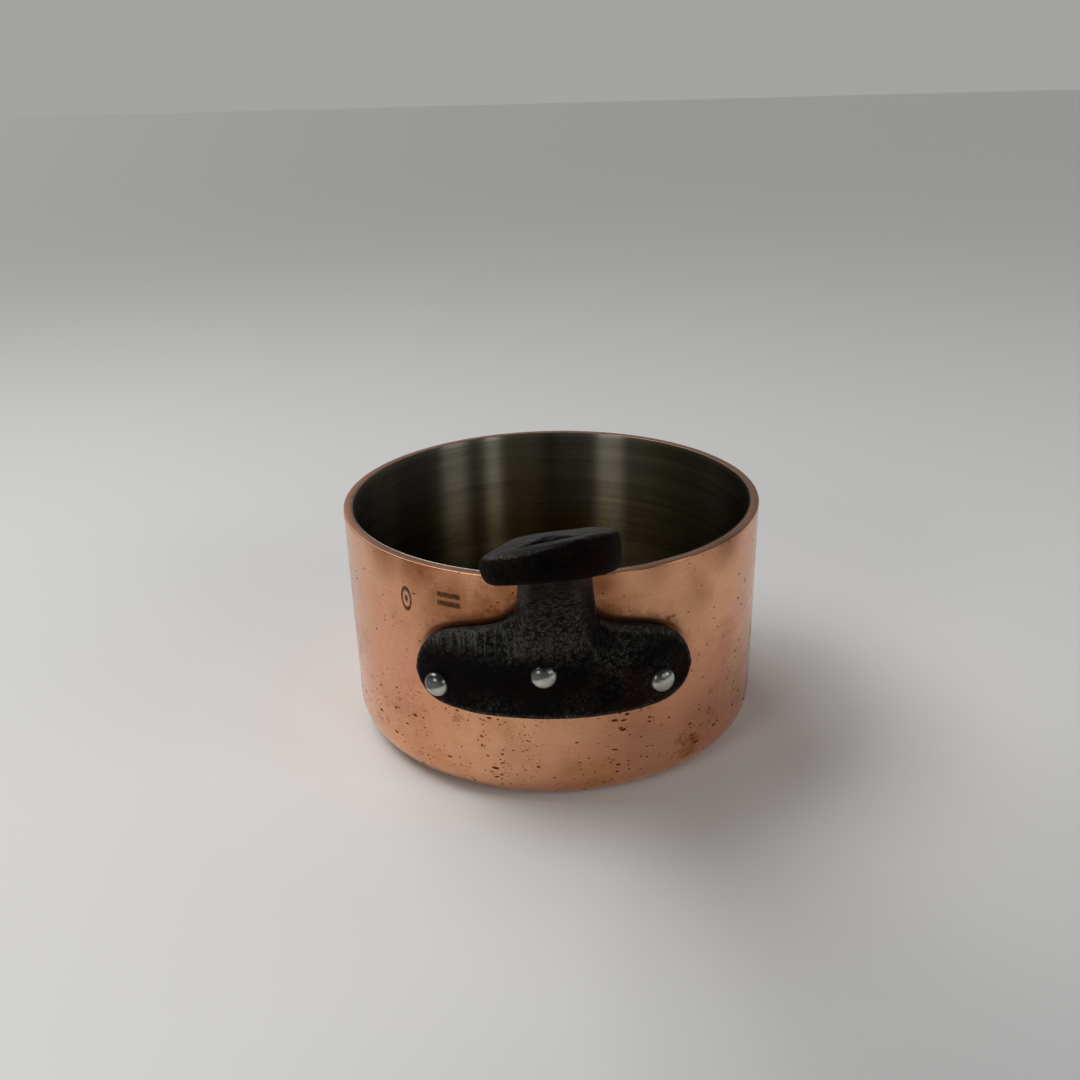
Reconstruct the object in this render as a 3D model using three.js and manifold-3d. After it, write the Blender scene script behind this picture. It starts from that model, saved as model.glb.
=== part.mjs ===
// A small heavy-gauge copper saucepan: a copper body with a steel lining bonded inside it,
// and a cast-iron handle held on by three rivets.
// Millimetres, +Z up. The origin is the centre of the base's underside, and the handle runs along -Y.

import * as THREE from 'three';
import { mergeVertices } from 'three/addons/utils/BufferGeometryUtils.js';
import Module from 'manifold-3d';

const wasm = await Module();
wasm.setup();

// The pan
const panRadius = 72.5; // outside of the copper
const panHeight = 80;
const copperWall = 2.7;
const liningWall = 0.4;
const bondGap = 0.1; // clearance between the copper and the lining
const cornerRadius = 9.5; // outside, where the wall turns into the base
const rimBevel = 0.35;
const roundSteps = 80; // flats round the pan
const cornerSteps = 6;

// The handle's flange, which lies against the wall
const seatGap = 0.3; // clearance between the wall and what is fastened to it
const flangeThickness = 4;
const flangeEdgeRadius = 1.1;

// The handle's shank
const sectionPoints = 20;
const sectionPower = 5; // 2 is an ellipse, and higher numbers are squarer
const endTwist = 7; // degrees, and the +X side is the higher one
const twistStart = 110; // distance from the pan's axis where the twist begins

// The hanging hole in the handle's end
const holeRadius = 4.6;
const holeWaist = 2.3; // half width that the sides curve in towards
const holeTop = 1.2; // half width at the narrow end
const holeLength = 22;
const holeCentre = 198.5; // the round end's distance from the pan's axis

// The rivets, whose azimuths are counted from -Y towards +X
const rivets = [
  { name: 'rivet_left', azimuth: -28.5, height: 42.4 },
  { name: 'rivet_centre', azimuth: -2.4, height: 49.7 },
  { name: 'rivet_right', azimuth: 26, height: 43.4 },
];
const shankRadius = 2.6;
const headRadius = 4.1;
const headHeight = 2.6;
const innerHeadRadius = 5;
const innerHeadHeight = 1.25;
const rivetSteps = 20;

// Sizes that follow from the ones above
const liningOuterRadius = panRadius - copperWall - bondGap;
const liningInnerRadius = liningOuterRadius - liningWall;
const flangeInner = panRadius + seatGap;
const flangeOuter = flangeInner + flangeThickness;
const rivetHoleRadius = shankRadius + seatGap;

const copper = new THREE.MeshStandardMaterial({ color: 0xc77f5f, roughness: 0.32, metalness: 1 });
const liningSteel = new THREE.MeshStandardMaterial({ color: 0x6b675c, roughness: 0.35, metalness: 1 });
const castIron = new THREE.MeshStandardMaterial({ color: 0x1c1a19, roughness: 0.6, metalness: 0.6 });
const rivetSteel = new THREE.MeshStandardMaterial({ color: 0xc9c9c6, roughness: 0.2, metalness: 1 });

// Three.js geometry to a solid, with shared vertices merged and collapsed triangles dropped
function toSolid(geometry) {
  const bare = geometry.clone();
  bare.deleteAttribute('normal');
  bare.deleteAttribute('uv');
  const merged = mergeVertices(bare, 1e-3);
  const index = merged.index.array;
  const kept = [];
  for (let i = 0; i < index.length; i += 3) {
    const [a, b, c] = [index[i], index[i + 1], index[i + 2]];
    if (a !== b && b !== c && c !== a) kept.push(a, b, c);
  }
  const vertProperties = merged.attributes.position.array;
  return new wasm.Manifold(new wasm.Mesh({ numProp: 3, vertProperties, triVerts: new Uint32Array(kept) }));
}

function toGeometry(solid) {
  const mesh = solid.getMesh();
  const geometry = new THREE.BufferGeometry();
  geometry.setAttribute('position', new THREE.BufferAttribute(mesh.vertProperties, 3));
  geometry.setIndex(new THREE.BufferAttribute(mesh.triVerts, 1));
  geometry.computeVertexNormals();
  return geometry;
}

// A profile of [radius, height] points turned about Z
function turned(profile, steps) {
  const points = profile.map(([radius, height]) => new THREE.Vector2(radius, height));
  return new THREE.LatheGeometry(points, steps).rotateX(Math.PI / 2);
}

// The quarter circle that joins a floor to a wall, from the floor's end up
function corner(wallRadius, floorHeight, radius) {
  const points = [];
  for (let i = 0; i <= cornerSteps; i++) {
    const angle = (i / cornerSteps) * (Math.PI / 2);
    const out = wallRadius - radius + radius * Math.sin(angle);
    const up = floorHeight + radius - radius * Math.cos(angle);
    points.push([out, up]);
  }
  return points;
}

// Rings of points joined into one closed body, with a fan over each end ring
function lofted(rings) {
  const count = rings[0].length;
  const positions = rings.flat().flatMap((point) => [point.x, point.y, point.z]);
  const index = [];
  for (let ring = 0; ring < rings.length - 1; ring++) {
    for (let i = 0; i < count; i++) {
      const next = (i + 1) % count;
      const [a, b] = [ring * count + i, ring * count + next];
      const [c, d] = [a + count, b + count];
      index.push(a, b, d, a, d, c);
    }
  }
  const last = (rings.length - 1) * count;
  for (let i = 1; i < count - 1; i++) {
    index.push(0, i + 1, i, last, last + i, last + i + 1);
  }
  const geometry = new THREE.BufferGeometry();
  geometry.setAttribute('position', new THREE.Float32BufferAttribute(positions, 3));
  geometry.setIndex(index);
  return geometry;
}

// A smooth curve through [x, value] points, as a function of x
function smoothThrough(points) {
  const knots = points.map(([x, value]) => new THREE.Vector3(x, value, 0));
  const samples = new THREE.CatmullRomCurve3(knots, false, 'centripetal').getPoints(400);
  return (x) => {
    const after = samples.findIndex((sample) => sample.x >= x);
    if (after === 0) return samples[0].y;
    if (after < 0) return samples[samples.length - 1].y;
    const [low, high] = [samples[after - 1], samples[after]];
    return THREE.MathUtils.mapLinear(x, low.x, high.x, low.y, high.y);
  };
}

// A shape that points out along a rivet's radius, turned from +Z to its azimuth and lifted to its height
function placeOnWall(geometry, rivet) {
  const turn = THREE.MathUtils.degToRad(rivet.azimuth);
  return geometry.rotateX(Math.PI / 2).rotateZ(turn).translate(0, 0, rivet.height);
}

function rivetHole(rivet) {
  const inside = liningInnerRadius - 4;
  const outside = flangeOuter + 4;
  const drill = new THREE.CylinderGeometry(rivetHoleRadius, rivetHoleRadius, outside - inside, rivetSteps);
  drill.rotateX(Math.PI / 2).translate(0, 0, (inside + outside) / 2);
  return toSolid(placeOnWall(drill, rivet));
}

function drilled(solid) {
  return rivets.reduce((left, rivet) => left.subtract(rivetHole(rivet)), solid);
}

// The copper: base, rounded corner, wall, and a flat rim with a small bevel outside
function copperBody() {
  const inner = panRadius - copperWall;
  const profile = [
    [0, 0],
    ...corner(panRadius, 0, cornerRadius),
    [panRadius, panHeight - rimBevel],
    [panRadius - rimBevel, panHeight],
    [inner, panHeight],
    ...corner(inner, copperWall, cornerRadius - copperWall).reverse(),
    [0, copperWall],
  ];
  return toGeometry(drilled(toSolid(turned(profile, roundSteps))));
}

// The thin steel inside, which ends level with the copper's rim
function steelLining() {
  const underside = copperWall + bondGap;
  const topside = underside + liningWall;
  const profile = [
    [0, underside],
    ...corner(liningOuterRadius, underside, cornerRadius - underside),
    [liningOuterRadius, panHeight],
    [liningInnerRadius, panHeight],
    ...corner(liningInnerRadius, topside, cornerRadius - topside).reverse(),
    [0, topside],
  ];
  return toGeometry(drilled(toSolid(turned(profile, roundSteps))));
}

// The flange's top and bottom edges, as heights over the distance along the wall from the handle's middle
const flangeTop = smoothThrough([
  [0, 72], [8.6, 71.6], [11.4, 69.8], [14, 67.4], [18, 65.2], [23, 63.8],
  [30, 62.2], [36, 60.3], [40.4, 57.6], [43.6, 53.8], [45.4, 49.6], [46, 46.4],
]);
const flangeBottom = smoothThrough([
  [0, 34], [26, 34.2], [35.5, 35], [41, 37], [44.4, 40.4], [46, 45],
]);

// The plate that follows the wall, as sections from one end to the other
function flange() {
  const half = [0, 4, 8.6, 11.4, 14, 16, 19, 23, 27, 31, 35, 38.5, 41, 43, 44.4, 45.4, 46];
  const stations = [...half.slice(1).reverse().map((along) => -along), ...half];
  const edge = flangeEdgeRadius;
  const soft = edge * (1 - Math.SQRT1_2);
  const rings = stations.map((along) => {
    const [low, high] = [flangeBottom(Math.abs(along)), flangeTop(Math.abs(along))];
    const section = [
      [flangeInner, low],
      [flangeOuter - edge, low],
      [flangeOuter - soft, low + soft],
      [flangeOuter, low + edge],
      [flangeOuter, high - edge],
      [flangeOuter - soft, high - soft],
      [flangeOuter - edge, high],
      [flangeInner, high],
    ];
    const [across, towards] = [Math.sin(along / flangeOuter), -Math.cos(along / flangeOuter)];
    return section.map(([radius, z]) => new THREE.Vector3(radius * across, radius * towards, z));
  });
  return toSolid(lofted(rings.reverse()));
}

// The shank's stations from its root inside the flange to its tip: distance from the pan's axis,
// height, half width, half thickness, and how far the casting strays towards +X
const shankStations = [
  [75, 55, 13.6, 1.5, 0],
  [75.4, 59, 13.2, 2, 0.3],
  [76.1, 63.2, 12.7, 2.7, 0.6],
  [77.7, 68.4, 11.9, 3.5, 0.9],
  [80.9, 74.8, 11, 4.2, 1.1],
  [86, 81.8, 10.3, 4.6, 1.1],
  [93, 88.6, 9.8, 4.6, 1],
  [102, 95.8, 9.3, 4.4, 0.9],
  [113, 103.3, 8.6, 4.1, 0.8],
  [127, 111.5, 8.1, 3.8, 0.7],
  [142, 119.3, 8, 3.5, 0.6],
  [157, 126.2, 8.6, 3.3, 0.5],
  [171, 132, 9.8, 3.1, 0.4],
  [183, 136.6, 11, 3.05, 0.3],
  [192, 140, 11.6, 3.05, 0.3],
  [199, 142.7, 11.3, 3.05, 0.3],
  [204, 144.6, 9.8, 3.05, 0.3],
  [207.3, 145.9, 7.3, 3, 0.3],
  [209.2, 146.6, 4.8, 2.9, 0.3],
  [210.1, 146.9, 2, 2.4, 0.3],
];

// The slope and twist of the shank at a station, in radians
function shankTurn(index) {
  const before = shankStations[Math.max(index - 1, 0)];
  const after = shankStations[Math.min(index + 1, shankStations.length - 1)];
  const slope = Math.atan2(after[1] - before[1], after[0] - before[0]);
  const share = THREE.MathUtils.smoothstep(shankStations[index][0], twistStart, holeCentre);
  return { slope, twist: THREE.MathUtils.degToRad(endTwist) * share };
}

function shank() {
  const rings = shankStations.map(([distance, height, halfWidth, halfThickness, stray], index) => {
    const { slope, twist } = shankTurn(index);
    const ring = [];
    for (let i = 0; i < sectionPoints; i++) {
      const angle = (i / sectionPoints) * Math.PI * 2;
      const [c, s] = [Math.cos(angle), Math.sin(angle)];
      const across = Math.sign(c) * Math.abs(c) ** (2 / sectionPower) * halfWidth;
      const up = Math.sign(s) * Math.abs(s) ** (2 / sectionPower) * halfThickness;
      const turnedUp = up * Math.cos(twist) + across * Math.sin(twist);
      const turnedAcross = across * Math.cos(twist) - up * Math.sin(twist);
      const y = turnedUp * Math.sin(slope) - distance;
      const z = turnedUp * Math.cos(slope) + height;
      ring.push(new THREE.Vector3(stray + turnedAcross, y, z));
    }
    return ring;
  });
  return toSolid(lofted(rings));
}

// A teardrop that is round towards the tip and narrows towards the pan, square to the handle's end
function hangingHole() {
  const outline = new THREE.Shape();
  const shoulder = THREE.MathUtils.degToRad(14);
  const [side, sideUp] = [holeRadius * Math.cos(shoulder), holeRadius * Math.sin(shoulder)];
  const top = holeLength - holeRadius;
  outline.moveTo(side, sideUp);
  outline.quadraticCurveTo(holeWaist, top * 0.6, holeTop, top - holeTop);
  outline.quadraticCurveTo(0, top + holeTop * 0.6, -holeTop, top - holeTop);
  outline.quadraticCurveTo(-holeWaist, top * 0.6, -side, sideUp);
  outline.absarc(0, 0, holeRadius, Math.PI - shoulder, Math.PI * 2 + shoulder, false);
  const depth = 30;
  const cutter = new THREE.ExtrudeGeometry(outline, { depth, bevelEnabled: false, curveSegments: 10 });
  const index = shankStations.findIndex(([distance]) => distance >= holeCentre);
  const [distance, height, , , stray] = shankStations[index];
  const { slope, twist } = shankTurn(index);
  cutter.translate(0, 0, -depth / 2).rotateY(-twist).rotateX(-slope);
  cutter.translate(stray, -distance, height);
  return toSolid(cutter);
}

function handle() {
  return toGeometry(drilled(flange().add(shank()).subtract(hangingHole())));
}

// One rivet: a low head inside the pan, the shank through the wall and flange, and a domed head outside
function rivetBody(rivet) {
  const innerSeat = liningInnerRadius - 1.5 * seatGap;
  const outerSeat = flangeOuter + seatGap;
  const profile = [];
  for (let i = 0; i <= 4; i++) {
    const angle = (i / 4) * (Math.PI / 2);
    profile.push([innerHeadRadius * Math.sin(angle), innerSeat - innerHeadHeight * Math.cos(angle)]);
  }
  profile.push([shankRadius, innerSeat], [shankRadius, outerSeat]);
  for (let i = 6; i >= 0; i--) {
    const angle = (i / 6) * (Math.PI / 2);
    profile.push([headRadius * Math.sin(angle), outerSeat + headHeight * Math.cos(angle)]);
  }
  return toGeometry(toSolid(placeOnWall(turned(profile, rivetSteps), rivet)));
}

function named(name, geometry, material) {
  const mesh = new THREE.Mesh(geometry, material);
  mesh.name = name;
  return mesh;
}

const saucepan = new THREE.Group();
saucepan.add(named('copper_body', copperBody(), copper));
saucepan.add(named('steel_lining', steelLining(), liningSteel));
saucepan.add(named('handle', handle(), castIron));
for (const rivet of rivets) {
  saucepan.add(named(rivet.name, rivetBody(rivet), rivetSteel));
}

export default saucepan;
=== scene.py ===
import math
import bmesh
import bpy
from mathutils import Matrix, Vector


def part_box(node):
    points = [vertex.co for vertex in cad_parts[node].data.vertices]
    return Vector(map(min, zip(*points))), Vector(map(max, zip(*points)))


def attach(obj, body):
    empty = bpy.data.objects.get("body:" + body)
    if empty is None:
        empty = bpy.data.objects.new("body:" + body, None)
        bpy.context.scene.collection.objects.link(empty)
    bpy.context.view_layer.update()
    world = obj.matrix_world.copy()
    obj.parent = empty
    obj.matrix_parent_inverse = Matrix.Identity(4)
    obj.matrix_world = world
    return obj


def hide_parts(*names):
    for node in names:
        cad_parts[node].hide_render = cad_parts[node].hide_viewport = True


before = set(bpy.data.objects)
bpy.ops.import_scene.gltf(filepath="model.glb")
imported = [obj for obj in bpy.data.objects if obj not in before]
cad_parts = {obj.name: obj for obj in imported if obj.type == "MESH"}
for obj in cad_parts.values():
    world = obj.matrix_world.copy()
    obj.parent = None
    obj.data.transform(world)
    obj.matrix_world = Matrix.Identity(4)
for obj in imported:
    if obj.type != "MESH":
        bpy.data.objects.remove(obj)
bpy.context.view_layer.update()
mm = 0.001
print("frame loaded:", len(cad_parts), "nodes")

scene = bpy.context.scene
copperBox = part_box("copper_body")
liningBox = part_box("steel_lining")
wallRadius = copperBox[1][0]
rimHeight = copperBox[1][2]


# helpers for node trees: sockets are linked, plain values are set

def isSocket(value):
    return isinstance(value, bpy.types.NodeSocket)


def treeOf(*values):
    return next(value.id_data for value in values if isSocket(value))


def fill(made, links):
    for key, value in links.items():
        if isSocket(value):
            made.id_data.links.new(value, made.inputs[key])
        else:
            made.inputs[key].default_value = value


def put(tree, kind, links=None, **settings):
    made = tree.nodes.new(kind)
    made.location = (len(tree.nodes) * 190, 0)
    for name, value in settings.items():
        setattr(made, name, value)
    fill(made, links or {})
    return made


def calc(operation, *values, clamp=False):
    links = dict(enumerate(values))
    return put(treeOf(*values), "ShaderNodeMath", links, operation=operation, use_clamp=clamp).outputs[0]


def chained(operation, values):
    result = values[0]
    for value in values[1:]:
        result = calc(operation, result, value)
    return result


def plus(*values):
    return chained("ADD", values)


def times(*values):
    return chained("MULTIPLY", values)


def larger(*values):
    return chained("MAXIMUM", values)


def minus(first, second):
    return calc("SUBTRACT", first, second)


def divided(first, second):
    return calc("DIVIDE", first, second)


def lengthOf(across, up):
    return calc("SQRT", plus(times(across, across), times(up, up)))


def vectorCalc(operation, *values, output=0):
    links = dict(enumerate(values))
    return put(treeOf(*values), "ShaderNodeVectorMath", links, operation=operation).outputs[output]


def scaled(vector, amount):
    links = {0: vector, "Scale": amount}
    return put(treeOf(vector), "ShaderNodeVectorMath", links, operation="SCALE").outputs[0]


def stretched(vector, amounts, shift=(0, 0, 0)):
    return vectorCalc("MULTIPLY", vectorCalc("ADD", vector, shift), amounts)


def split(vector):
    return put(treeOf(vector), "ShaderNodeSeparateXYZ", {0: vector}).outputs


def combined(x, y, z):
    return put(treeOf(x, y, z), "ShaderNodeCombineXYZ", {0: x, 1: y, 2: z}).outputs[0]


def spread(value, low, high, toLow=0.0, toHigh=1.0, smooth=True):
    kind = "SMOOTHSTEP" if smooth else "LINEAR"
    links = {"Value": value, "From Min": low, "From Max": high, "To Min": toLow, "To Max": toHigh}
    return put(treeOf(value), "ShaderNodeMapRange", links, interpolation_type=kind).outputs["Result"]


def fade(value, atNone, atFull):
    return spread(value, 0.0, 1.0, atNone, atFull, False)


def blendColour(share, first, second, how="MIX"):
    links = {0: share, 6: first, 7: second}
    tree = treeOf(share, first, second)
    return put(tree, "ShaderNodeMix", links, data_type="RGBA", blend_type=how).outputs[2]


def noiseValue(vector, scale, detail=2.0, roughness=0.5, distortion=0.0):
    return put(treeOf(vector), "ShaderNodeTexNoise", {
        "Vector": vector, "Scale": scale, "Detail": detail, "Roughness": roughness,
        "Distortion": distortion,
    }).outputs["Fac"]


def readAttribute(tree, name):
    return put(tree, "ShaderNodeAttribute", attribute_name=name, attribute_type="GEOMETRY").outputs["Fac"]


def bumped(height, strength, depth):
    links = {"Height": height, "Strength": strength, "Distance": depth * mm}
    return put(treeOf(height), "ShaderNodeBump", links).outputs[0]


def newGroup(name, kind, inputs, output):
    tree = bpy.data.node_groups.new(name, kind)
    for title, socketKind, value in inputs:
        made = tree.interface.new_socket(title, in_out="INPUT", socket_type="NodeSocket" + socketKind)
        if value is not None:
            made.default_value = value
    title, socketKind = output
    tree.interface.new_socket(title, in_out="OUTPUT", socket_type="NodeSocket" + socketKind)
    start = tree.nodes.new("NodeGroupInput")
    end = tree.nodes.new("NodeGroupOutput")
    return tree, start.outputs, end.inputs


def useGroup(group, links):
    return put(treeOf(*links.values()), "ShaderNodeGroup", links, node_tree=group).outputs[0]


def newMaterial(name):
    material = bpy.data.materials.new(name)
    material.use_nodes = True
    tree = material.node_tree
    tree.nodes.clear()
    surface = put(tree, "ShaderNodeBsdfPrincipled")
    put(tree, "ShaderNodeOutputMaterial", {"Surface": surface.outputs[0]})
    place = put(tree, "ShaderNodeTexCoord").outputs["Object"]
    return material, tree, surface, place


# shader groups shared by the materials

def makeRingBrush():
    # fine lines that run round the pan, on its walls and its floors alike
    tree, start, end = newGroup("ringBrush", "ShaderNodeTree", [
        ("Place", "Vector", None), ("Fineness", "Float", 3000), ("Length", "Float", 30),
    ], ("Lines", "Float"))
    x, y, z = split(start["Place"])
    across = times(plus(lengthOf(x, y), z), start["Fineness"])
    vector = combined(times(x, start["Length"]), times(y, start["Length"]), across)
    tree.links.new(noiseValue(vector, 1.0, 3.0, 0.65), end["Lines"])
    return tree


def makePitting():
    # small round holes scattered by cells, of which only a share holds one
    tree, start, end = newGroup("pitting", "ShaderNodeTree", [
        ("Place", "Vector", None), ("Cell Size", "Float", 3 * mm),
        ("Share", "Float", 0.3), ("Hole Size", "Float", 0.16),
    ], ("Holes", "Float"))
    wander = put(tree, "ShaderNodeTexNoise", {"Vector": start["Place"], "Scale": 900.0, "Detail": 2.0})
    bent = vectorCalc("MULTIPLY_ADD", wander.outputs["Color"], (0.5 * mm,) * 3, start["Place"])
    scale = divided(1.0, start["Cell Size"])
    cells = put(tree, "ShaderNodeTexVoronoi", {"Vector": bent, "Scale": scale, "Randomness": 1.0})
    chance, size, _ = put(tree, "ShaderNodeSeparateColor", {0: cells.outputs["Color"]}).outputs
    # most holes are small, a few are three times as wide
    radius = times(start["Hole Size"], fade(calc("POWER", size, 2.5), 0.5, 1.6))
    hole = spread(minus(radius, cells.outputs["Distance"]), -0.01, 0.035)
    chosen = calc("LESS_THAN", chance, start["Share"])
    tree.links.new(times(hole, chosen), end["Holes"])
    return tree


def makeCloudyStain():
    # soft blotches with broken edges
    tree, start, end = newGroup("cloudyStain", "ShaderNodeTree", [
        ("Place", "Vector", None), ("Size", "Float", 20 * mm),
        ("Cover", "Float", 0.5), ("Softness", "Float", 0.15),
    ], ("Stain", "Float"))
    cloud = noiseValue(start["Place"], divided(1.0, start["Size"]), 6.0, 0.62, 0.3)
    edge = minus(1.0, start["Cover"])
    stain = spread(cloud, minus(edge, start["Softness"]), plus(edge, start["Softness"]))
    tree.links.new(stain, end["Stain"])
    return tree


ringBrush = makeRingBrush()
pitting = makePitting()
cloudyStain = makeCloudyStain()


def brushedLines(place, fineness, length):
    return useGroup(ringBrush, {"Place": place, "Fineness": fineness, "Length": length})


def scatteredHoles(place, cellSize, share, holeSize):
    links = {"Place": place, "Cell Size": cellSize * mm, "Share": share, "Hole Size": holeSize}
    return useGroup(pitting, links)


def stainMask(place, size, cover, softness):
    links = {"Place": place, "Size": size * mm, "Cover": cover, "Softness": softness}
    return useGroup(cloudyStain, links)


def wallPlace(azimuth, height):
    turn = math.radians(azimuth)
    return (wallRadius * math.sin(turn), -wallRadius * math.cos(turn), height * mm)


def reaching(place, spots):
    # the strongest of several soft spots on the wall
    nearness = []
    for azimuth, height, reach, strength in spots:
        away = vectorCalc("DISTANCE", place, wallPlace(azimuth, height), output="Value")
        nearness.append(spread(away, reach * mm, 0.0, 0.0, strength))
    return larger(*nearness)


# the copper

copperFinish = {
    "fresh": (0.79, 0.405, 0.232, 1),
    "rosy": (0.78, 0.36, 0.215, 1),
    "honey": (0.68, 0.33, 0.145, 1),
    "reflectionAndTarnish": (0.235, 0.072, 0.022, 1),
    "brown": (0.33, 0.115, 0.032, 1),
    "nearBlack": (0.060, 0.020, 0.008, 1),
    "pit": (0.115, 0.026, 0.007, 1),
    "rim": (0.33, 0.18, 0.13, 1),
    "mark": (0.075, 0.030, 0.015, 1),
    "roughness": 0.16,
    "bumpDepth": 0.14,
    # how much each layer covers at most
    "thinCover": 0.26,
    "lineCover": 0.18,
    "speckleCover": 0.22,
    "pitCover": 0.97,
    "markCover": 0.95,
    "rimCover": 0.75,
    # painted shadow and dark reflection of the iron, with some grime, on the copper beside it: mm from it
    # where each layer starts and is full, and its cover
    "edgeShadow": (2.2, 0.8, 0.95),
    "shelfShadow": (3.6, 1.2, 0.97),
    "haloReflectionAndGrime": (7, 1, 0.8),
    "wideDarkening": (20, 3, 0.15),
    # heights in mm between which pits get crowded
    "pitHeights": (44, 20),
    # azimuth from the handle towards +X in degrees, height, reach in mm, strength
    "stains": [
        (37, 12, 13, 1.0), (46, 19, 8, 0.7), (-25, 28, 8, 0.62), (-13, 13, 9, 0.5), (57, 21, 7, 0.5),
        (74, 33, 9, 1.0), (71, 15, 10, 0.9), (-69, 31, 7, 0.8), (-56, 13, 8, 0.8), (70, 52, 6, 0.6),
        (-52, 15, 7, 0.65), (-59, 27, 5, 0.6), (18, 70, 10, 0.6), (29, 62, 6, 0.8), (46, 28, 6, 0.5),
        (-30, 68, 18, 0.42), (-17, 76, 12, 0.6), (118, 44, 14, 0.5), (165, 22, 18, 0.6),
        (-125, 30, 12, 0.6), (-165, 60, 10, 0.5), (90, 12, 12, 0.6), (-95, 66, 8, 0.5),
    ],
    # smoother darkening, given in the same way: tarnish, and beside the neck a painted dark reflection of
    # the neck
    "neckReflectionAndTarnishSpots": [
        (-14, 65, 22, 1.0), (-11, 75, 12, 0.9), (-25, 70, 20, 0.8), (-34, 80, 18, 1.0),
        (-46, 80, 15, 0.8), (11.5, 67, 11, 1.0), (11, 77, 10, 0.95), (26, 79, 9, 0.4),
        (50, 80, 14, 0.85), (38, 66, 10, 0.3), (-100, 40, 30, 0.3), (150, 60, 26, 0.35),
        (-160, 24, 26, 0.3),
    ],
    # cell size in mm and hole size of each layer, its stretch round the pan and its own place
    "pitLayers": [(1.6, 0.18, 0.42, 0.0), (3.1, 0.12, 0.45, 0.31), (1.1, 0.17, 0.7, 0.53)],
    # azimuth and height of the two punched marks, and their sizes in mm
    "ovalMark": (-38.65, 66.6),
    "ovalHalfWidth": 1.9,
    "ovalHalfHeight": 3.5,
    "dotMark": (-25.55, 70),
    "dotPitch": 0.8,
    "dotRowHeight": 1.45,
    "dotRowHalfLength": 4.0,
}


def punchedMarks(x, y, z, values):
    # an oval ring with a dot in it, and two rows of punched dots; lengths in mm
    around = times(calc("ARCTAN2", x, times(y, -1.0)), wallRadius / mm)
    up = divided(z, mm)

    def awayFrom(azimuth, height):
        return minus(around, math.radians(azimuth) * wallRadius / mm), minus(up, height)

    across, above = awayFrom(*values["ovalMark"])
    oval = lengthOf(divided(across, values["ovalHalfWidth"]), divided(above, values["ovalHalfHeight"]))
    ring = spread(calc("ABSOLUTE", minus(oval, 1.0)), 0.26, 0.15)
    dot = spread(oval, 0.45, 0.28)
    across, above = awayFrom(*values["dotMark"])
    pitch = values["dotPitch"]
    column = minus(calc("PINGPONG", across, pitch), pitch / 2)
    row = minus(calc("ABSOLUTE", above), values["dotRowHeight"])
    # each dot is twice as tall as it is wide
    dots = spread(lengthOf(column, times(row, 0.5)), 0.56, 0.40)
    inside = calc("LESS_THAN", calc("ABSOLUTE", across), values["dotRowHalfLength"])
    return larger(ring, dot, times(dots, inside))


def shadeAndGrimeByIron(tree, z, blotch, values):
    # painted shadow along the iron's edges, a painted dark reflection of it mixed with grime, and a wide
    # faint darkening, on the copper beside the iron; most of it above the flange
    gap = readAttribute(tree, "ironGap")
    above = spread(z, 44 * mm, 60 * mm, 0.1, 1.0)
    ragged = spread(blotch, 0.38, 0.6, 0.45, 1.0)

    def within(start, full, cover):
        return times(spread(gap, start * mm, full * mm), cover)

    edge = within(*values["edgeShadow"])
    shelf = times(within(*values["shelfShadow"]), above)
    halo = times(within(*values["haloReflectionAndGrime"]), above, ragged)
    wash = times(within(*values["wideDarkening"]), above)
    return larger(edge, shelf, halo, wash)


def scatteredPits(place, y, z, values):
    # longer round the pan than up it, and crowded near the base and below the handle
    patchy = spread(noiseValue(place, 60.0, 2.0), 0.38, 0.60, 0.2, 1.7)
    sparse, crowded = values["pitHeights"]
    share = times(
        spread(z, sparse * mm, crowded * mm, 0.16, 0.9),
        spread(y, 20 * mm, -40 * mm, 0.55, 1.0), patchy,
    )
    pits = []
    for cellSize, holeSize, stretch, shift in values["pitLayers"]:
        where = stretched(place, (stretch, stretch, 1.0), (shift, shift * 0.6, shift * 0.2))
        pits.append(scatteredHoles(where, cellSize, share, holeSize))
    return larger(*pits)


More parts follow.
